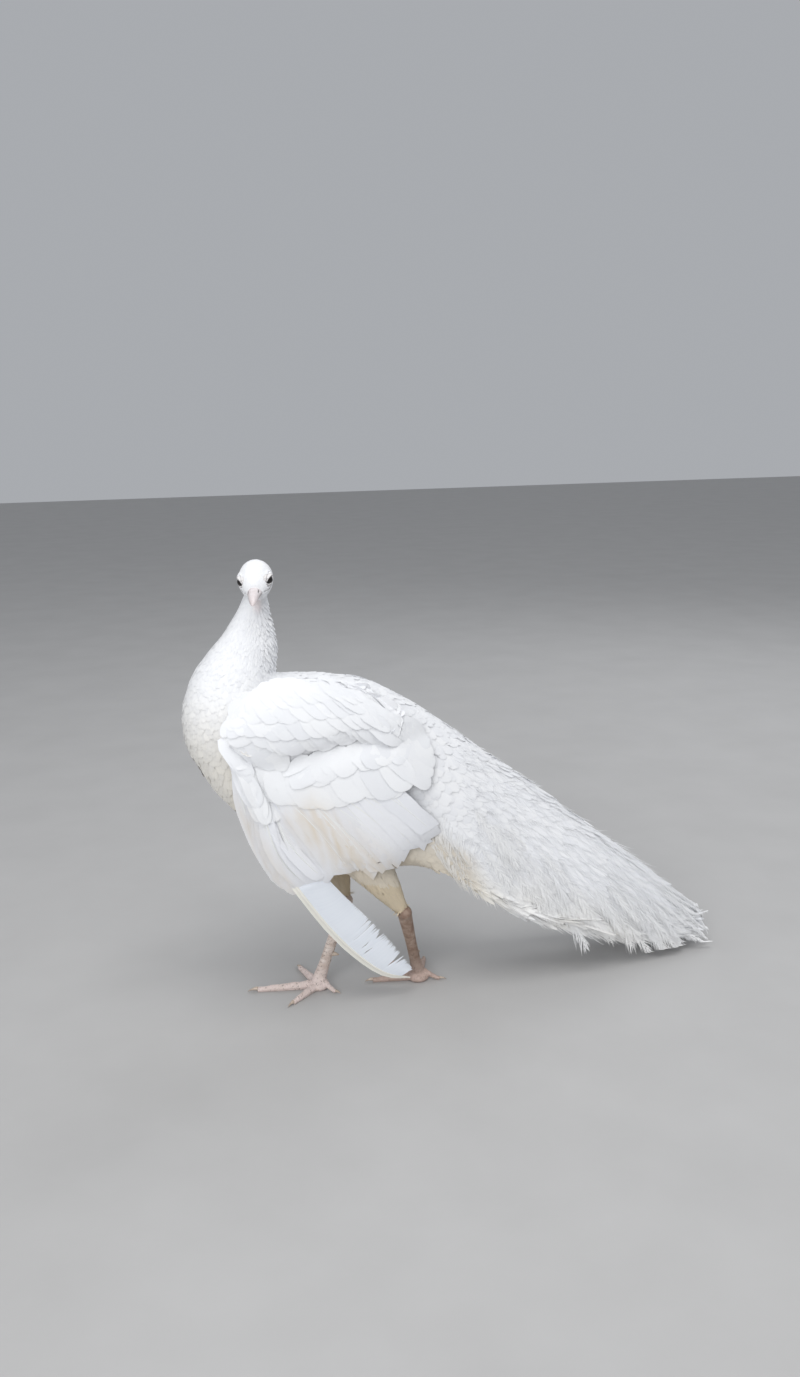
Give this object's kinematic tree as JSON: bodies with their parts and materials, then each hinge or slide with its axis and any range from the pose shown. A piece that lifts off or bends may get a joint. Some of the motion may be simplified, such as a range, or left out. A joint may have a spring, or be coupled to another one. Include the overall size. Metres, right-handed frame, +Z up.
{
  "type": "white peacock",
  "caption": "Standing white peacock, life-size, head turned to its left, left wing drooping, train trailing behind; a still figure for display.",
  "frame": {"origin": "centre of the bird's bounding box in plan, at floor level", "axes": "+Z up, -X the way the body heads, -Y the bird's left side"},
  "size_m": [0.7386, 0.189, 0.6037],
  "materials": {
    "plumage": "soft matt white feathers, faintly cream below",
    "flight_feather": "smooth satin white feather vanes with pale cream shafts",
    "shin_feather": "short matt cream feathers",
    "scaled_skin": "dry horny scales, pinkish to brown",
    "bill": "smooth pale pinkish horn, low sheen",
    "claw": "smooth pale brown horn",
    "eye": "wet glossy black"
  },
  "bodies": {
    "root": {"head": "plumage", "eye_left": "eye", "eye_right": "eye", "bill_upper": "bill", "bill_lower": "bill", "crest": "plumage", "neck_upper": "plumage", "neck_lower": "plumage", "breast": "plumage", "trunk": "plumage", "rump": "plumage", "train_upper": "plumage", "train_lower": "plumage", "wing_left_coverts": "plumage", "wing_left_secondaries": "flight_feather", "wing_left_primaries": "flight_feather", "wing_right_coverts": "plumage", "wing_right_secondaries": "flight_feather", "wing_right_primaries": "flight_feather", "wing_left_long_primary": "flight_feather", "shin_left": "shin_feather", "shank_left": "scaled_skin", "spur_left": "claw", "toe_left_middle": "scaled_skin", "claw_left_middle": "claw", "toe_left_inner": "scaled_skin", "claw_left_inner": "claw", "toe_left_outer": "scaled_skin", "claw_left_outer": "claw", "toe_left_hind": "scaled_skin", "claw_left_hind": "claw", "shin_right": "shin_feather", "shank_right": "scaled_skin", "spur_right": "claw", "toe_right_middle": "scaled_skin", "claw_right_middle": "claw", "toe_right_inner": "scaled_skin", "claw_right_inner": "claw", "toe_right_outer": "scaled_skin", "claw_right_outer": "claw", "toe_right_hind": "scaled_skin", "claw_right_hind": "claw"}
  },
  "joints": []
}
